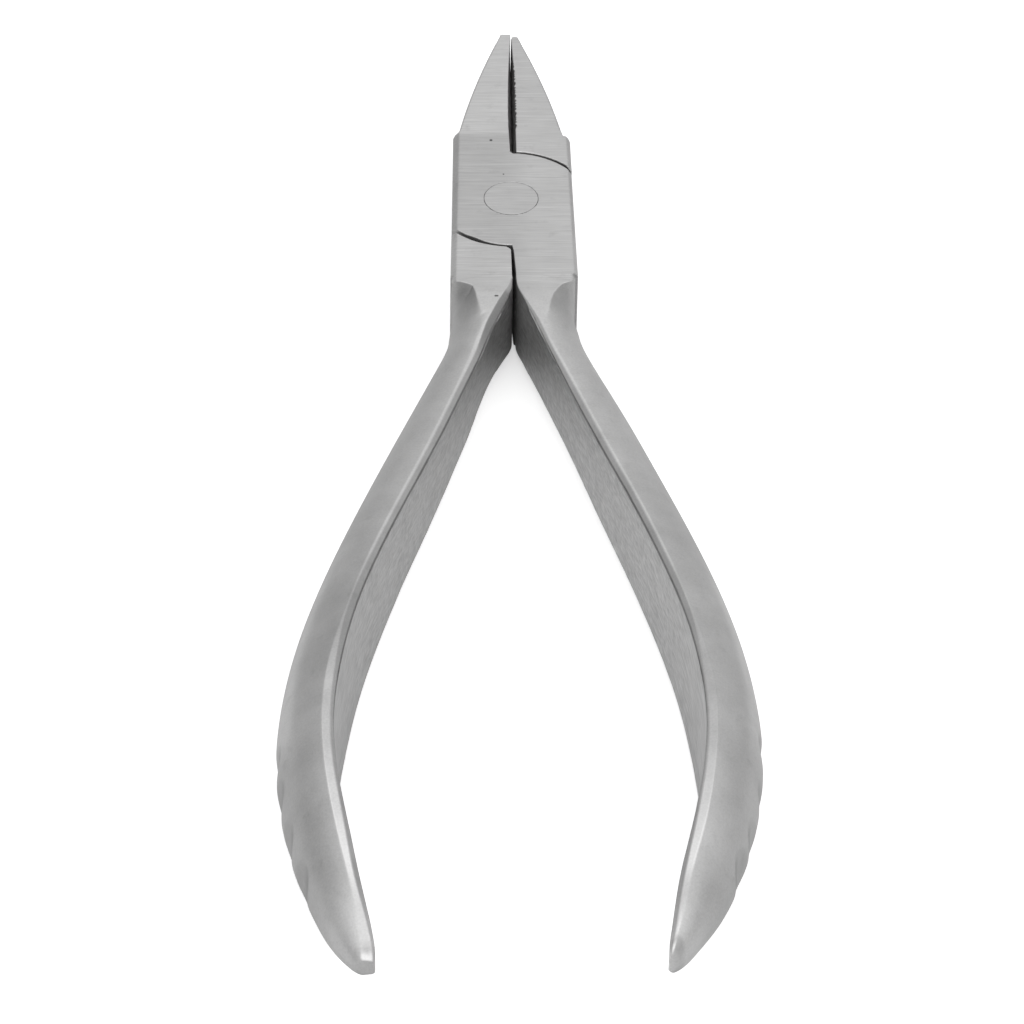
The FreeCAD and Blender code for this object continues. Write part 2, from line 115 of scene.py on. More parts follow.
def outline(points, jaw_side):
    """Closed polygon of a plan outline, arcs sampled finely."""
    out = []
    n = len(points)
    for i, entry in enumerate(points):
        p, q = np.array(entry[:2]), np.array(points[(i + 1) % n][:2])
        if len(entry) == 2:
            out.append(p)
            continue
        radius = entry[2]
        mid, chord = (p + q) / 2, q - p
        normal = np.array([-chord[1], chord[0]]) / np.linalg.norm(chord)
        away = np.array([jaw_side, 0.0]) if radius > 100 else mid
        if normal @ away < 0:
            normal = -normal
        centre = mid - normal * math.sqrt(radius**2 - chord @ chord / 4)
        a0, a1 = (math.atan2(*(v - centre)[::-1]) for v in (p, q))
        turn = (a1 - a0 + math.pi) % (2 * math.pi) - math.pi
        steps = 14 if radius > 100 else 26
        for k in range(steps):
            t = a0 + turn * k / steps
            out.append(centre + radius * np.array([math.cos(t), math.sin(t)]))
    return np.array(out)


def polygon_distance(poly, x, y):
    """Signed distance to a polygon, negative inside."""
    best = np.full(x.shape, 1e9)
    inside = np.zeros(x.shape, bool)
    a = poly
    b = np.roll(poly, -1, 0)
    for (ax, ay), (bx, by) in zip(a, b):
        ex, ey = bx - ax, by - ay
        px, py = x - ax, y - ay
        t = np.clip((px * ex + py * ey) / (ex * ex + ey * ey), 0, 1)
        best = np.minimum(best, (px - t * ex) ** 2 + (py - t * ey) ** 2)
        cross = (ay > y) != (by > y)
        if ay != by:
            inside ^= cross & (x < (bx - ax) * (y - ay) / (by - ay) + ax)
    best = np.sqrt(best)
    return np.where(inside, -best, best)


def smax(a, b, k):
    return np.maximum(a, b) + np.maximum(k - np.abs(a - b), 0) ** 2 / (4 * k)


def smin(a, b, k):
    return np.minimum(a, b) - np.maximum(k - np.abs(a - b), 0) ** 2 / (4 * k)


def step(a, b, x):
    t = np.clip((x - a) / (b - a), 0, 1)
    return t * t * (3 - 2 * t)


# ------------------------------------------------------------------ distance field of one half
class Half:
    def __init__(self, points, jaw_side, plate_up, pits):
        self.jaw, self.side, self.up = jaw_side, -jaw_side, plate_up
        self.poly = outline(points, jaw_side)
        self.ys, self.tab = TABLES[self.side]
        self.grooves = HANDLES[self.side]["grooves"]
        self.pits = pits
        face = [p for p in self.poly if p[1] > 11.5 and abs(p[0] - 0.35) < 0.75]
        face = np.array(sorted(face, key=lambda p: p[1]))
        self.face = face

    def sizes(self, y):
        return [np.interp(y, self.ys, self.tab[k]) for k in ("inner", "outer", "half", "bevel")]

    def handle(self, x, y, z):
        xi, xo, h, b = self.sizes(y)
        if self.side < 0:  # the left handle's inner face leans back a little near the crotch
            xi = xi - 0.18 * z / 3.6 * step(-14.5, -19.0, y) * step(-30.0, -23.0, y)
        big_x, zz = self.side * x, np.abs(z)
        top, x0 = h + b + 0.20 * step(-25.0, -17.0, y), xi + b
        rise = np.maximum(xo - x0, 0.3)
        radius = (top * top + rise * rise) / (2 * rise)
        arc = np.sqrt((big_x - (xo - radius)) ** 2 + z * z) - radius
        shave = 0.014 + 0.056 * step(-34, -22, y) + 0.26 * step(-64, -76, y) * (1 - 0.75 * step(-88, -101, y))
        crown = zz - (top - shave) - 0.12 * (big_x - x0)
        flat = (xi - big_x) * 0.95
        bevel = ((zz - h) - (big_x - xi)) * 0.7071
        soft = 0.10
        d = smax(flat, bevel, 0.05)
        # a fine scored line where the ground inner face meets the bevel
        score = np.sqrt((big_x - xi) ** 2 + (zz - h) ** 2)
        d = np.maximum(d, (0.11 - score) * step(-86, -70, y) - (1 - step(-86, -70, y)) * 0.2)
        d = smax(d, arc, soft)
        d = np.where(y < -17.0, smax(d, crown, 0.06), d)
        end = (HANDLES[self.side]["end"] - y) * 1.0
        d = smax(d, end, 1.3)
        for gx, gy in self.grooves:
            dist = np.sqrt((x - gx) ** 2 + (y - gy) ** 2)
            d = smax(d, GROOVE - dist, 0.36)
        return d

    def blank(self, x, y, z, flat):
        """flat is the plan distance, already computed for x and y."""
        r = np.sqrt(x * x + y * y)
        near = np.exp(-((x - self.side * 0.1) ** 2 + (y + 7.9) ** 2) / 0.8)
        recess = RECESS[self.up]
        if not self.up:
            recess = recess + 0.04 * np.exp(-(((x + 3.6) / 0.9) ** 2)) * (y < 0)
        root = smax(flat, recess - r, 0.06 + 0.9 * near)
        zp = z if self.up else -z
        plan = np.minimum(root, np.maximum(flat, GAP - zp))
        slope = (HALF - JAW_TIP) / (JAW_END - JAW_BASE)
        thick = HALF - slope * np.maximum(y - JAW_BASE, 0)
        slab = np.abs(z) - thick
        worn = 0.17 * step(11.0, 12.0, y) * step(0.9, 1.4, np.abs(x - 0.3))
        scoop = (0.80 if self.side > 0 else 0.16) * step(-13.6, -15.0, y) * step(1.6, 2.6, self.side * x)
        d = smax(plan, slab, 0.09 + worn + scoop)
        for s, (x_top, y_top, x_low, y_low) in ((-1, (-5.73, 10.5, -6.20, -13.6)), (1, (6.16, 9.7, 6.50, -13.5))):
            line = s * (x - (x_low + (x_top - x_low) * (y - y_low) / (y_top - y_low)))
            d = smax(d, (line + slab + CHAMFER[s]) * 0.7071, 0.10)
        return smax(d, RIVET + (0.002 if self.up else 0.04) - r, 0.012)

    def __call__(self, x, y, z):
        x, y, z = np.broadcast_arrays(x, y, z)
        d = self.handle(x, np.minimum(y, -12.5), z)
        d = smax(d, y + 12.6, 0.05)
        head = y > -24.0
        if head.any():
            hx, hy, hz = x[head], y[head], z[head]
            # the slot between the two halves closes towards the back
            pinch = 0.22 * step(3.8, -4.2, hz) * step(-7.7, -9.5, hy) * step(-14.5, -12.5, hy) * step(3.5, 1.5, np.abs(hx))
            shut = step(3.6, 0.6, hz) * step(8.2, 9.4, hy) * step(3.2, 1.2, np.abs(hx - 0.3))
            edge = np.interp(hy, self.face[:, 1], self.face[:, 0])
            middle = 0.36 + (-0.03 if self.up else 0.03)
            shift = shut * (middle - edge)
            flat = polygon_distance(self.poly, hx + (pinch if self.up else -0.1 * pinch) - shift, hy)
            if not self.up:  # worn cross-cuts on the right jaw's inner face
                line = np.interp(hy, self.face[:, 1], self.face[:, 0])
                near = np.exp(-(((hx - line) / 0.25) ** 2)) * step(11.6, 12.6, hy) * step(25.5, 22.5, hy)
                cut = np.abs(((hy / 0.62 + 0.35 * np.sin(hy * 2.3)) % 1) - 0.5) * 2
                flat = flat + near * step(0.5, 3.0, hz) * (0.20 * cut**1.5 + 0.03 * np.sin(hy * 11))
            else:  # the front plate's edge is worn back a little on the left
                flat = flat + 0.16 * np.exp(-(((hx + 3.8) / 0.9) ** 2) - ((hy + 6.6) / 1.5) ** 2)
            solid = self.blank(hx, hy, hz, flat)
            grip = d[head]
            k = 0.12 + 1.7 * step(2.2, 3.8, self.side * hx) if self.side < 0 else 0.30 + 1.9 * step(1.7, 3.5, hx)
            k = 0.12 + (k - 0.12) * step(-12.5, -13.8, hy)
            both = smin(solid, grip, k)
            cap = np.abs(hz) - (HALF + 0.05 * np.maximum(-16.0 - hy, 0))
            wall = self.side * hx - (6.26 + 0.62 * np.maximum(-16.8 - hy, 0))
            both = smax(smax(both, cap, 0.07), wall, 0.7)
            xi, xo, h, b = self.sizes(hy)
            if self.side < 0:
                xi = xi - 0.18 * hz / 3.6 * step(-14.5, -19.0, hy) * step(-30.0, -23.0, hy)
            big_x = self.side * hx
            inner = smax(xi - big_x, ((np.abs(hz) - h) - (big_x - xi)) * 0.7071, 0.05)
            both = np.where(hy < -13.2, smax(both, inner, 0.03), both)
            d = d.copy()
            d[head] = np.where(hy > -12.4, solid, both)
        for px, py, pz, pr in self.pits:
            near = (np.abs(x - px) < pr * 3) & (np.abs(y - py) < pr * 3)
            if near.any():
                ball = np.sqrt((x[near] - px) ** 2 + (y[near] - py) ** 2 + (z[near] - pz) ** 2) - pr
                d[near] = smax(d[near], -ball, pr * 0.4)
        return d


def lines(*spans):
    """Grid lines from (start, stop, pitch) spans that follow each other."""
    out = []
    for a, b, pitch in spans:
        n = max(1, round((b - a) / pitch))
        out += [a + (b - a) * i / n for i in range(n)]
    return np.array(out + [spans[-1][1]])


def surface(half):
    """Dual mesh of the half's zero level, on a grid that follows the handle's inner face and height."""
    s = half.side
    u = lines((-7.3, -0.4, 0.17), (-0.4, 1.1, 0.075), (1.1, 6.9, 0.17), (6.9, 8.0, 0.2))
    v = lines((-105.4, -101.0, 0.12), (-101.0, -74.0, 0.30), (-74.0, -20.0, 0.52), (-20.0, -13.0, 0.15), (-13.0, 11.0, 0.185), (11.0, 26.0, 0.12), (26.0, 30.3, 0.14))
    w = lines((-4.75, -4.45, 0.15), (-4.45, -3.4, 0.075), (-3.4, -0.15, 0.36), (-0.15, 0.15, 0.06), (0.15, 3.4, 0.36), (3.4, 4.45, 0.075), (4.45, 4.75, 0.15))
    q, tab = TABLES[s]
    shift = np.interp(np.minimum(v, -13.0), q, tab["inner"])
    tall = np.interp(v, q, tab["half"] + tab["bevel"]) / HALF
    scale = np.where(v > -24, 1.0, np.maximum(tall, 0.16))
    scale = np.where((v <= -24) & (v > -30), 1 + (scale - 1) * step(-24, -30, v), scale)
    x = s * (u[:, None] + shift[None, :])
    nx, ny, nz = len(u), len(v), len(w)
    values = np.empty((nx, ny, nz), np.float32)
    for j0 in range(0, ny, 60):
        j1 = min(ny, j0 + 60)
        gx = np.broadcast_to(x[:, j0:j1, None], (nx, j1 - j0, nz))
        gy = np.broadcast_to(v[None, j0:j1, None], gx.shape)
        gz = w[None, None, :] * scale[None, j0:j1, None] * np.ones(gx.shape)
        values[:, j0:j1] = half(gx, gy, gz)
    neg = values < 0
    cells = (nx - 1, ny - 1, nz - 1)
    total = cells[0] * cells[1] * cells[2]
    sums = np.zeros((total, 3))
    count = np.zeros(total)
    quads = []
    size = (nx, ny, nz)
    for axis in range(3):
        lo = [slice(None)] * 3
        hi = [slice(None)] * 3
        lo[axis], hi[axis] = slice(0, -1), slice(1, None)
        a, b = values[tuple(lo)], values[tuple(hi)]
        cross = neg[tuple(lo)] != neg[tuple(hi)]
        i, j, k = np.nonzero(cross)
        t = a[i, j, k] / (a[i, j, k] - b[i, j, k])
        pos = np.stack([i, j, k], 1).astype(float)
        pos[:, axis] += t
        others = [o for o in range(3) if o != axis]
        ring = []
        ok = np.ones(len(i), bool)
        for da, db in ((0, 0), (1, 0), (1, 1), (0, 1)):
            c = [i.copy(), j.copy(), k.copy()]
            c[others[0]] = c[others[0]] - da
            c[others[1]] = c[others[1]] - db
            good = np.ones(len(i), bool)
            for o in range(3):
                good &= (c[o] >= 0) & (c[o] < cells[o])
            ok &= good
            flat = (np.clip(c[0], 0, cells[0] - 1) * cells[1] + np.clip(c[1], 0, cells[1] - 1)) * cells[2] + np.clip(c[2], 0, cells[2] - 1)
            for o in range(3):
                sums[:, o] += np.bincount(flat[good], pos[good, o], total)
            count += np.bincount(flat[good], None, total)
            ring.append(flat)
        ring = np.stack(ring, 1)[ok]
        turn = neg[tuple(lo)][i, j, k][ok]
        if axis == 1:
            turn = ~turn
        if s < 0:
            turn = ~turn
        quads.append(np.where(turn[:, None], ring, ring[:, ::-1]))
    quads = np.concatenate(quads)
    used = np.nonzero(count > 0)[0]
    index = np.full(total, -1)
    index[used] = np.arange(len(used))
    p = sums[used] / count[used][:, None]
    vy = np.interp(p[:, 1], np.arange(ny), v)
    vx = s * (np.interp(p[:, 0], np.arange(nx), u) + np.interp(p[:, 1], np.arange(ny), shift))
    vz = np.interp(p[:, 2], np.arange(nz), w) * np.interp(p[:, 1], np.arange(ny), scale)
    return np.stack([vx, vy, vz], 1), index[quads]


def gradient(half, p, eps=0.006):
    g = np.empty_like(p)
    for o in range(3):
        d = np.zeros(3)
        d[o] = eps
        a, b = p + d, p - d
        g[:, o] = (half(a[:, 0], a[:, 1], a[:, 2]) - half(b[:, 0], b[:, 1], b[:, 2])) / (2 * eps)
    return g


def relax(half, p, quads, rounds=2):
    """Even the mesh out along the surface, then put every point back on it."""
    n = len(p)
    for _ in range(rounds):
        mean = np.zeros_like(p)
        count = np.zeros(n)
        for a, b in ((0, 1), (1, 2), (2, 3), (3, 0)):
            for i, j in ((quads[:, a], quads[:, b]), (quads[:, b], quads[:, a])):
                for o in range(3):
                    mean[:, o] += np.bincount(i, p[j, o], n)
                count += np.bincount(i, None, n)
        move = (mean / np.maximum(count, 1)[:, None] - p) * 0.35
        g = gradient(half, p)
        length = np.maximum(np.linalg.norm(g, axis=1), 0.3)[:, None]
        unit = g / length
        move -= unit * (move * unit).sum(1)[:, None]
        move *= np.minimum(1, 0.05 / np.maximum(np.linalg.norm(move, axis=1), 1e-9))[:, None]
        p = p + move
        d = half(p[:, 0], p[:, 1], p[:, 2])
        p = p - unit * np.clip(d / length[:, 0], -0.06, 0.06)[:, None]
    return p


def make_piece(name, p, faces, normals, attributes, node, body, material):
    mesh = bpy.data.meshes.new(name)
    real = (p + np.array([0, 0, HALF])) * 0.001
    mesh.from_pydata(real.tolist(), [], faces.tolist())
    mesh.update()
    for key, value in attributes.items():
        layer = mesh.attributes.new(key, "FLOAT", "POINT")
        layer.data.foreach_set("value", np.ascontiguousarray(value, np.float32))
    mesh.polygons.foreach_set("use_smooth", np.ones(len(mesh.polygons), bool))
    mesh.normals_split_custom_set_from_vertices(normals.tolist())
    mesh.materials.append(material)
    piece = bpy.data.objects.new(name, mesh)
    bpy.context.scene.collection.objects.link(piece)
    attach(piece, body)
    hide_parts(node)
    return piece


def rivet_mesh():
    """Turned rivet: straight shank, countersunk back head, front end peened flush, with broken edges."""
    profile = [
        (0.0, HALF - 0.004), (1.2, HALF - 0.004), (2.2, HALF - 0.002), (2.62, HALF - 0.002), (2.70, HALF - 0.004), (2.722, HALF - 0.012),
        (2.73, HALF - 0.03), (2.73, HALF - 0.3), (2.73, HALF - 1.2), (2.73, 2.0), (2.73, 0.4), (2.73, -1.2), (2.73, -3.0),
        (2.74, -3.07), (3.35, -3.72), (3.38, -3.78), (3.40, -3.9), (3.40, -4.16), (3.38, -4.21), (3.33, -4.242), (3.2, -4.25), (1.6, -4.25), (0.0, -4.25),
    ]
    n = 128
    p = [(0.0, 0.0, profile[0][1])]
    for r, z in profile[1:-1]:
        p += [(r * math.cos(2 * math.pi * i / n), r * math.sin(2 * math.pi * i / n), z) for i in range(n)]
    p.append((0.0, 0.0, profile[-1][1]))
    faces = [(0, 1 + i, 1 + (i + 1) % n) for i in range(n)]
    rings = len(profile) - 2
    for k in range(rings - 1):
        a, b = 1 + k * n, 1 + (k + 1) * n
        faces += [(a + i, b + i, b + (i + 1) % n, a + (i + 1) % n) for i in range(n)]
    last, a = len(p) - 1, 1 + (rings - 1) * n
    faces += [(last, a + (i + 1) % n, a + i) for i in range(n)]
    return np.array(p), faces


# ------------------------------------------------------------------ materials
def nodes_of(name):
    mat = bpy.data.materials.new(name)
    mat.use_nodes = True
    tree = mat.node_tree
    tree.nodes.clear()
    out = tree.nodes.new("ShaderNodeOutputMaterial")
    shader = tree.nodes.new("ShaderNodeBsdfPrincipled")
    tree.links.new(shader.outputs["BSDF"], out.inputs["Surface"])
    return mat, tree, shader


class Graph:
    """Short-hand for wiring shader nodes."""

    def __init__(self, tree):
        self.tree = tree

    def put(self, socket, value):
        if isinstance(value, (int, float)):
            socket.default_value = value
        elif isinstance(value, tuple):
            socket.default_value = value
        else:
            self.tree.links.new(value, socket)

    def math(self, kind, a, b=0.0, c=0.0, clamp=False):
        node = self.tree.nodes.new("ShaderNodeMath")
        node.operation = kind
        node.use_clamp = clamp
        for socket, value in zip(node.inputs, (a, b, c)):
            self.put(socket, value)
        return node.outputs[0]

    def scale(self, vector, by):
        node = self.tree.nodes.new("ShaderNodeVectorMath")
        node.operation = "MULTIPLY"
        self.put(node.inputs[0], vector)
        self.put(node.inputs[1], by)
        return node.outputs[0]

    def noise(self, vector, scale, detail=2.0, rough=0.5):
        node = self.tree.nodes.new("ShaderNodeTexNoise")
        self.put(node.inputs["Vector"], vector)
        self.put(node.inputs["Scale"], scale)
        self.put(node.inputs["Detail"], detail)
        self.put(node.inputs["Roughness"], rough)
        return node.outputs["Fac"]

    def span(self, value, a, b, low=0.0, high=1.0):
        node = self.tree.nodes.new("ShaderNodeMapRange")
        self.put(node.inputs["Value"], value)
        for key, number in (("From Min", a), ("From Max", b), ("To Min", low), ("To Max", high)):
            self.put(node.inputs[key], number)
        return node.outputs[0]

    def attribute(self, name):
        node = self.tree.nodes.new("ShaderNodeAttribute")
        node.attribute_name = name
        return node.outputs["Fac"]

    def mix(self, fac, a, b):
        node = self.tree.nodes.new("ShaderNodeMix")
        node.data_type = "FLOAT"
        self.put(node.inputs[0], fac)
        self.put(node.inputs[2], a)
        self.put(node.inputs[3], b)
        return node.outputs[0]

    def colour(self, fac, a, b):
        node = self.tree.nodes.new("ShaderNodeMix")
        node.data_type = "RGBA"
        self.put(node.inputs[0], fac)
        self.put(node.inputs[6], a)
        self.put(node.inputs[7], b)
        return node.outputs[2]


def steel(name, seed, head_only=False, spots=()):
    """Satin stainless steel: cross-brushed joint and jaws, bead-blasted handles, lengthwise scratches on the ground faces."""
    mat, tree, shader = nodes_of(name)
    g = Graph(tree)
    place = tree.nodes.new("ShaderNodeTexCoord").outputs["Object"]
    far = g.scale(place, (1000.0, 1000.0, 1000.0))  # millimetres
    shifted = tree.nodes.new("ShaderNodeVectorMath")
    shifted.operation = "ADD"
    tree.links.new(far, shifted.inputs[0])
    shifted.inputs[1].default_value = (seed * 13.7, seed * 5.1, seed * 2.3)
    mm = shifted.outputs[0]
    cross = g.noise(g.scale(mm, (0.10, 4.2, 4.2)), 1.0, 3.0, 0.6)
    cross_fine = g.noise(g.scale(mm, (0.30, 12.0, 12.0)), 1.0, 2.0, 0.6)
    grain = g.noise(mm, 5.0, 3.0, 0.65)
    blotch = g.noise(mm, 0.22, 3.0, 0.55)
    along = g.noise(g.scale(mm, (3.2, 0.09, 3.2)), 1.0, 3.0, 0.6)
    across = g.noise(g.scale(mm, (0.5, 4.0, 0.5)), 1.0, 3.0, 0.6)
    head = 1.0 if head_only else g.attribute("brush")
    inner = 0.0 if head_only else g.attribute("ground")
    polish = 0.0 if head_only else g.attribute("polish")
    crown = 0.0 if head_only else g.attribute("crown")
    # painted shade from the mesh: darker rings at the finger grooves, the scored crease and the scoop
    painted_shade = 0.0 if head_only else g.attribute("painted_shade")
    # painted light and shade from the mesh: a tone factor raised and lowered patch by patch; the rivet takes a plain
    # 0.96
    painted_light_shade = 0.96 if head_only else g.attribute("painted_light_shade")
    brushed = g.math("ADD", g.math("MULTIPLY", cross, 0.38), g.math("MULTIPLY", cross_fine, 0.62))
    satin = g.math("ADD", g.math("MULTIPLY", grain, 0.6), g.math("MULTIPLY", blotch, 0.4))
    scored = g.math("ADD", g.math("MULTIPLY", along, 0.7), g.math("MULTIPLY", across, 0.3))
    pattern = g.mix(head, satin, brushed)
    pattern = g.mix(inner, pattern, scored)
    tone = g.span(pattern, 0.3, 0.7, -1.0, 1.0)
    level = g.mix(head, 0.51, 0.565)
    level = g.mix(inner, level, 0.575)
    level = g.mix(crown, level, 0.50)
    swing = g.mix(inner, g.mix(head, 0.060, 0.090), 0.16)
    level = g.math("MULTIPLY_ADD", tone, swing, level)
    # the tone is scaled by the painted light and shade
    level = g.math("MULTIPLY", level, painted_light_shade)
    level = g.math("ADD", level, g.span(blotch, 0.3, 0.7, -0.02, 0.02))
    stain = g.span(g.noise(mm, 0.55, 4.0, 0.6), 0.60, 0.78, 0.0, 0.14)
    # the stains are the steel's own; the painted shade is added to them here
    dark = g.math("ADD", stain, painted_shade, clamp=True)
    # the seam round the rivet holds a little dirt, and a few small pits are drawn as dark spots
    split = tree.nodes.new("ShaderNodeSeparateXYZ")
    tree.links.new(far, split.inputs[0])
    if seed != 2.0:
        radius = g.math("SQRT", g.math("ADD", g.math("MULTIPLY", split.outputs["X"], split.outputs["X"]), g.math("MULTIPLY", split.outputs["Y"], split.outputs["Y"])))
        off = g.math("ABSOLUTE", g.math("SUBTRACT", radius, RIVET))
        seam = g.math("MULTIPLY", g.span(off, 0.015, 0.055, 0.42, 0.0), g.span(blotch, 0.35, 0.6, 0.55, 1.0))
        dark = g.math("MAXIMUM", dark, seam)
    for px, py, pz, pr in spots:
        node = tree.nodes.new("ShaderNodeVectorMath")
        node.operation = "DISTANCE"
        tree.links.new(far, node.inputs[0])
        node.inputs[1].default_value = (px, py, pz)
        dark = g.math("MAXIMUM", dark, g.span(node.outputs["Value"], pr * 0.6, pr * 1.3, 0.85, 0.0))
    level = g.math("MULTIPLY", level, g.math("SUBTRACT", 1.0, dark))
    pair = tree.nodes.new("ShaderNodeCombineColor")
    g.put(pair.inputs[0], level)
    g.put(pair.inputs[1], g.math("MULTIPLY", level, 0.998))
    g.put(pair.inputs[2], g.math("MULTIPLY", level, 0.996))
    g.put(shader.inputs["Base Color"], pair.outputs[0])
    shader.inputs["Metallic"].default_value = 1.0
    rough = g.math("ADD", g.span(pattern, 0.2, 0.8, 0.40, 0.48), g.math("MULTIPLY", g.span(blotch, 0.3, 0.7, -1.0, 1.0), 0.02))
    rough = g.math("SUBTRACT", rough, g.math("MULTIPLY", polish, 0.05))
    rough = g.math("SUBTRACT", rough, g.math("MULTIPLY", crown, 0.12))
    g.put(shader.inputs["Roughness"], rough)
    bump = tree.nodes.new("ShaderNodeBump")
    bump.inputs["Strength"].default_value = 1.0
    bump.inputs["Distance"].default_value = 0.000006
    g.put(bump.inputs["Height"], pattern)
    tree.links.new(bump.outputs["Normal"], shader.inputs["Normal"])
    return mat


# ------------------------------------------------------------------ build the three pieces
SPOTS = {
    "upper_half": [(-1.93, 9.88, 8.5, 0.16), (-0.72, 4.05, 8.5, 0.09), (4.3, -17.9, 8.3, 0.13), (3.55, -29.0, 7.0, 0.12)],
    "lower_half": [(-1.72, -16.0, 8.5, 0.14), (-1.58, -16.0, 8.5, 0.12)],
}
PITS_UPPER, PITS_LOWER = [], []
halves = (
    ("upper_half", Half(UPPER, -1, True, PITS_UPPER), "upper", 1.0),
    ("lower_half", Half(LOWER, 1, False, PITS_LOWER), "lower", 2.0),
)
for node, half, body, seed in halves:
    points, quads = surface(half)
    points = relax(half, points, quads)
    normals = gradient(half, points)
    normals /= np.maximum(np.linalg.norm(normals, axis=1), 1e-9)[:, None]
    x, y, z = points.T
    xi, xo, h, b = half.sizes(np.minimum(y, -12.5))
    brush = step(-17.0, -12.5, y)
    facing = normals[:, 0] * half.side
    ground = step(-0.75, -0.97, facing) * step(-13.0, -16.0, y)
    polish = step(-0.05, -0.5, facing) * step(-17.0, -20.0, y)
    big_x = half.side * x
    top = h + b
    crown = step(-62, -76, y) * step(-104, -99, y) * step(0.90, 0.96, np.abs(normals[:, 2])) * step(xi + b + 1.35, xi + b + 0.95, big_x)
    # painted shade: dark rings along the edges of the finger grooves, stronger towards the handle's end
    painted_shade = np.zeros(len(x))
    for gx, gy in half.grooves:
        painted_shade = np.maximum(painted_shade, 0.42 * step(0.30, 0.10, np.abs(np.hypot(x - gx, y - gy) - GROOVE)) * (0.25 + 0.75 * step(1.5, -0.5, y - gy)))
    # painted shade on the tilted walls of the scoop between the joint and the handle, stronger on the left half
    painted_cove_shade = step(0.985, 0.82, np.abs(normals[:, 2])) * step(-23.5, -14.5, y) * step(-13.2, -13.8, y) * step(1.6, 3.2, big_x)
    painted_cove_shade = painted_cove_shade * (1 - 0.6 * step(5.2, 5.9, big_x)) * step(6.35, 6.1, big_x) * (1 - 0.28 * step(-16.5, -20.0, y))
    painted_shade = np.maximum(painted_shade, (0.30 if half.side < 0 else 0.20) * painted_cove_shade)
    scored = np.hypot(big_x - xi, np.abs(z) - h)
    # painted shade: a dark line in the scored crease where the inner face meets the bevel, down the handle
    painted_shade = np.maximum(painted_shade, 0.62 * step(0.20, 0.07, scored) * step(-19.0, -25.0, y) * step(-84.0, -72.0, y))
    # painted light and shade scale the tone: brighter jaws (most on the left one), darker chamfers on the joint, a
    # brighter flat top where the handles start
    painted_light_shade = 1.0 + step(10.5, 11.6, y) * (0.12 if half.up else 0.035)
    painted_light_shade = painted_light_shade * (1 - 0.13 * step(0.5, 0.65, np.abs(normals[:, 0])) * step(0.85, 0.75, np.abs(normals[:, 0])) * (0.3 + 0.7 * step(-7.0, -5.5, y)) * step(-14.0, -13.2, y) * step(11.6, 11.0, y))
    painted_light_shade = painted_light_shade * (1 + (0.20 if half.side < 0 else 0.14) * step(0.96, 0.99, normals[:, 2]) * step(-24.0, -19.0, y) * step(-14.5, -16.5, y))
    # painted shade on the jaws' sloping sides near their base, painted light on the inner slopes low on the handles,
    # painted shade on the left handle's inward faces by the crotch, painted light at the handle ends
    painted_light_shade = painted_light_shade * (1 - 0.22 * step(0.15, 0.45, np.abs(normals[:, 0])) * step(11.2, 12.0, y) * step(0.9, 1.3, np.abs(x - 0.3)))
    ramp = step(-0.35, -0.55, facing) * step(-0.92, -0.80, facing) * step(0.3, 0.5, normals[:, 2])
    painted_light_shade = painted_light_shade * (1 + 0.06 * ramp * step(-60.0, -72.0, y))
    painted_light_shade = painted_light_shade * (1 - 0.30 * step(-0.2, -0.5, facing) * step(-14.6, -15.4, y) * step(-26.0, -22.0, y) * (1 - ground) * (half.side < 0))
    painted_light_shade = painted_light_shade * (1 + 0.20 * step(-97.0, -102.0, y) * (1 - crown))
    if half.side < 0:
        mark = 0.14 * step(1.5, 0.6, np.hypot((big_x - 13.5) * 0.8, y + 103.7))
    else:
        mark = 0.22 * step(0.8, 0.3, np.hypot(big_x - 12.9, y + 102.7))
    painted_light_shade = painted_light_shade * (1 - mark)
    # painted shade in the shallow valley beside the ridge low on the handle, and painted light on the lower grip
    valley = step(0.9, 1.7, big_x - xi - b) * step(4.2, 2.6, big_x - xi - b) * step(-78.0, -88.0, y) * step(-104.0, -98.0, y)
    painted_light_shade = painted_light_shade * (1 - 0.04 * valley) * (1 + 0.06 * step(-82.0, -90.0, y))
    # painted shade toning down the crown's highlight on the left handle's upper grip
    if half.up:
        painted_light_shade = painted_light_shade * (1 - 0.10 * crown * step(-92.0, -88.0, y))
    # painted highlights along the edge between the top and the bevel and along the grips' outer rim; painted shade
    # across the middle of the left handle's top
    brow = np.hypot(big_x - xi - b, np.abs(z) - top + 0.02)
    painted_light_shade = painted_light_shade * (1 + 0.20 * step(0.26, 0.10, brow) * step(-18.0, -26.0, y) * step(-62.0, -56.0, y))
    painted_light_shade = painted_light_shade * (1 + 0.22 * step(-52.0, -60.0, y) * step(-84.0, -78.0, y) * step(xo - 1.9, xo - 0.9, big_x))
    painted_light_shade = painted_light_shade * (1 - (0.12 if half.side < 0 else 0.0) * step(-54.0, -64.0, y) * step(-80.0, -73.0, y) * (1 - ground) * (1 - crown) * (1 - step(xo - 2.4, xo - 1.2, big_x)))
    # front-plate half: painted light on the handle's upper top and on its ground inner faces, painted shade on the left
    # of the joint
    if half.up:
        painted_light_shade = painted_light_shade * (1 + 0.09 * step(-17.0, -24.0, y) * step(-48.0, -38.0, y) * (1 - ground))
        painted_light_shade = painted_light_shade * (1 - 0.085 * step(3.0, -1.0, x) * step(11.6, 10.6, y))
        painted_light_shade = painted_light_shade * (1 + 0.13 * ground)
    fields = {"brush": brush, "ground": ground, "polish": polish, "crown": crown, "painted_shade": painted_shade, "painted_light_shade": painted_light_shade}
    make_piece(node + "_skin", points, quads, normals, fields, node, body, steel(node + "_steel", seed, spots=SPOTS[node]))

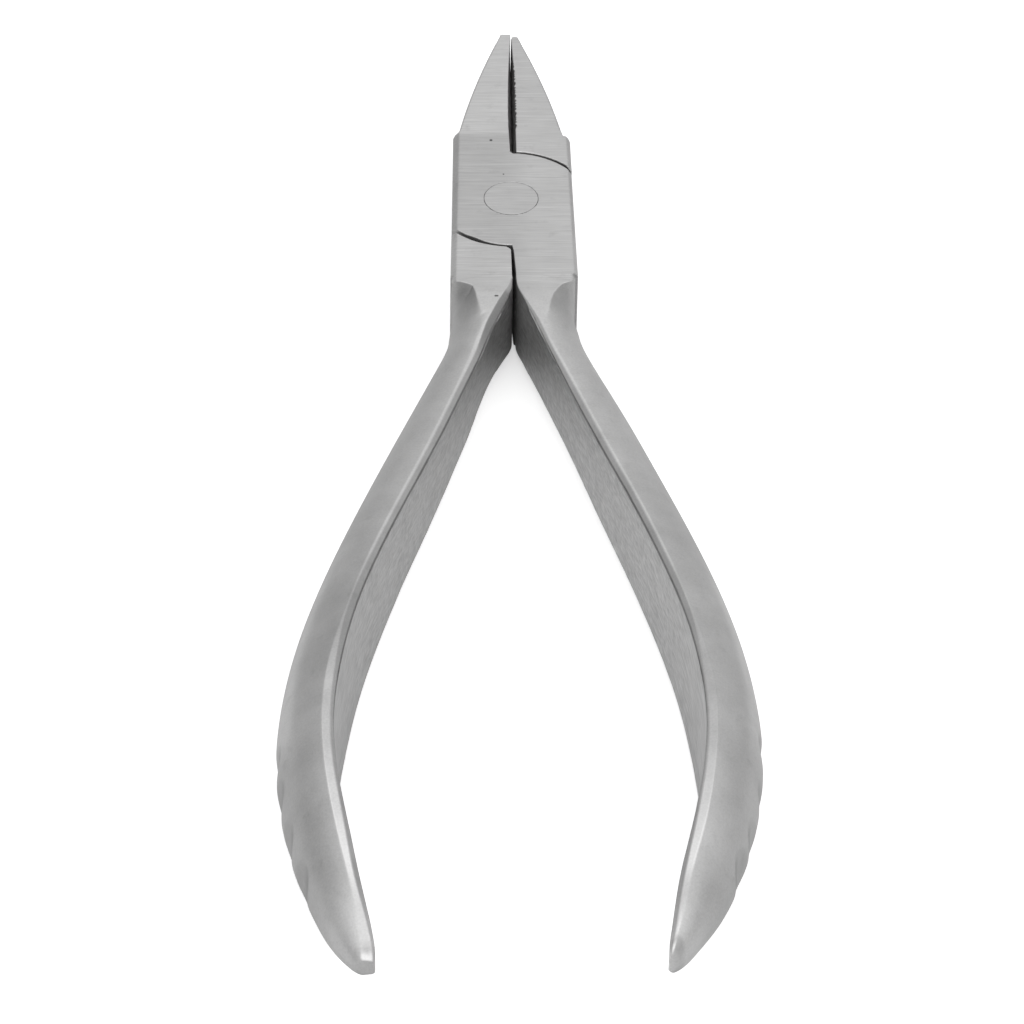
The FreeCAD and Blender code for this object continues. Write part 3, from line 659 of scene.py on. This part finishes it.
points, faces = rivet_mesh()
mesh = bpy.data.meshes.new("pivot_rivet_turned")
mesh.from_pydata(((points + np.array([0, 0, HALF])) * 0.001).tolist(), [], faces)
mesh.update()
mesh.polygons.foreach_set("use_smooth", np.ones(len(mesh.polygons), bool))
mesh.materials.append(steel("rivet_steel_turned", 3.0, head_only=True))
rivet = bpy.data.objects.new("pivot_rivet_turned", mesh)
bpy.context.scene.collection.objects.link(rivet)
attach(rivet, "upper")
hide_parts("pivot_rivet")


# ------------------------------------------------------------------ floor, lights, camera
def sheet(name, corners, material):
    mesh = bpy.data.meshes.new(name)
    mesh.from_pydata(corners, [], [tuple(range(len(corners)))])
    mesh.materials.append(material)
    thing = bpy.data.objects.new(name, mesh)
    bpy.context.scene.collection.objects.link(thing)
    return thing


def area(name, place, target, size, power, colour=(1.0, 1.0, 1.0)):
    light = bpy.data.lights.new(name, "AREA")
    light.shape = "RECTANGLE"
    light.size, light.size_y = size
    light.energy = power
    light.color = colour
    thing = bpy.data.objects.new(name, light)
    bpy.context.scene.collection.objects.link(thing)
    aim = np.array(target, float) - np.array(place, float)
    back = -aim / np.linalg.norm(aim)
    right = np.cross((0.0, 0.0, 1.0) if abs(back[2]) < 0.99 else (0.0, 1.0, 0.0), back)
    right /= np.linalg.norm(right)
    up = np.cross(back, right)
    thing.matrix_world = Matrix([[right[i], up[i], back[i], place[i]] for i in range(3)] + [[0, 0, 0, 1]])
    return thing


# the pliers lie on the bulges of their handles and the joint's upper back edge, so the floor leans 2.25 degrees
LEAN, LOW = 0.0393, -0.00344
paper, tree, shader = nodes_of("floor_paper")
shader.inputs["Base Color"].default_value = (0.68, 0.68, 0.68, 1.0)
shader.inputs["Roughness"].default_value = 0.9
bright = tree.nodes.new("ShaderNodeBsdfPrincipled")
bright.inputs["Base Color"].default_value = (0.96, 0.96, 0.96, 1.0)
bright.inputs["Roughness"].default_value = 0.9
bright.inputs["Emission Color"].default_value = (1.0, 1.0, 1.0, 1.0)
bright.inputs["Emission Strength"].default_value = 0.46
seen = tree.nodes.new("ShaderNodeLightPath")
blend = tree.nodes.new("ShaderNodeMixShader")
tree.links.new(seen.outputs["Is Camera Ray"], blend.inputs[0])
tree.links.new(shader.outputs[0], blend.inputs[1])
tree.links.new(bright.outputs[0], blend.inputs[2])
tree.links.new(blend.outputs[0], tree.nodes["Material Output"].inputs["Surface"])
sheet("floor", [(x, y, LOW + LEAN * (y + 0.075)) for x, y in ((-3, -3), (3, -3), (3, 3), (-3, 3))], paper)

world = bpy.data.worlds.new("studio")
bpy.context.scene.world = world
world.use_nodes = True
sky = Graph(world.node_tree)
split = world.node_tree.nodes.new("ShaderNodeSeparateXYZ")
world.node_tree.links.new(world.node_tree.nodes.new("ShaderNodeTexCoord").outputs["Generated"], split.inputs[0])
height = sky.math("MAXIMUM", split.outputs["Z"], 0.0)
glow = sky.math("MULTIPLY_ADD", height, 0.44, 0.56)
sides = sky.math("MAXIMUM", sky.math("SUBTRACT", sky.math("ABSOLUTE", split.outputs["X"]), 0.50), 0.0)
front = sky.span(split.outputs["Y"], 0.40, 0.0, 0.0, 1.0)
glow = sky.math("SUBTRACT", glow, sky.math("MULTIPLY", sky.math("MULTIPLY", sides, front), 0.35))
glow = sky.math("ADD", glow, sky.math("MULTIPLY", split.outputs["X"], 0.10))
backdrop = world.node_tree.nodes["Background"]
backdrop.inputs["Color"].default_value = (1.0, 1.0, 1.0, 1.0)
world.node_tree.links.new(glow, backdrop.inputs["Strength"])
area("overhead", (0.05, 0.22, 0.9), (0.0, -0.06, 0.0), (0.5, 0.4), 0.6)
area("front", (0.0, -1.5, 1.0), (0.0, -0.03, 0.0), (1.8, 0.9), 9.0)

view = bpy.context.scene.view_settings
view.view_transform = "Standard"
view.look = "None"

lens = bpy.data.cameras.new("camera")
lens.sensor_width = 36.0
lens.lens = 4940.03 * 36.0 / 1024.0
lens.clip_start, lens.clip_end = 0.05, 20.0
camera = bpy.data.objects.new("camera", lens)
bpy.context.scene.collection.objects.link(camera)
axis_x, axis_down, axis_in = (0.999814, -0.013860, 0.013378), (0.001166, -0.649649, -0.760234), (0.019229, 0.760109, -0.649513)
spot = (-0.009467, -0.399888, 0.308501)
camera.matrix_world = Matrix([[axis_x[i], -axis_down[i], -axis_in[i], spot[i]] for i in range(3)] + [[0, 0, 0, 1]])
bpy.context.scene.camera = camera
